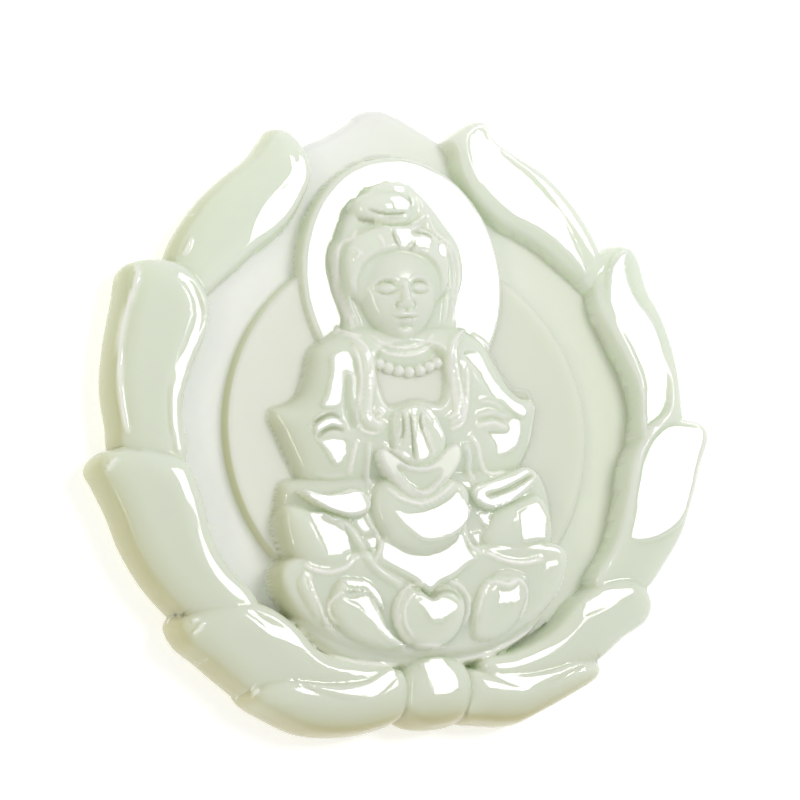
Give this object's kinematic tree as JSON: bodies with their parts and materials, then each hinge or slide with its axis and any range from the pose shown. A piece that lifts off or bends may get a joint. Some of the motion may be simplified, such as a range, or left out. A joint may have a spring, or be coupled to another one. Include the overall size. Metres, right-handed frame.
{
  "type": "imitation jade guanyin pendant",
  "caption": "Flat-backed carved pendant of pale green glass: a seated robed figure with halo and disc in a ring of lotus petals, drilled at the top for a cord.",
  "frame": {"origin": "centre of the flat back's bounding box, on the surface that the pendant lies on", "axes": "+Z out of the carved face, +Y to the top of the pendant, +X to its right as seen from the front"},
  "size_m": [0.0524, 0.0506, 0.0072],
  "materials": {
    "jade_glass": "milky, polished on the raised forms, satin on the sunk grounds"
  },
  "bodies": {
    "root": {"carved_pendant": "jade_glass"}
  },
  "joints": []
}
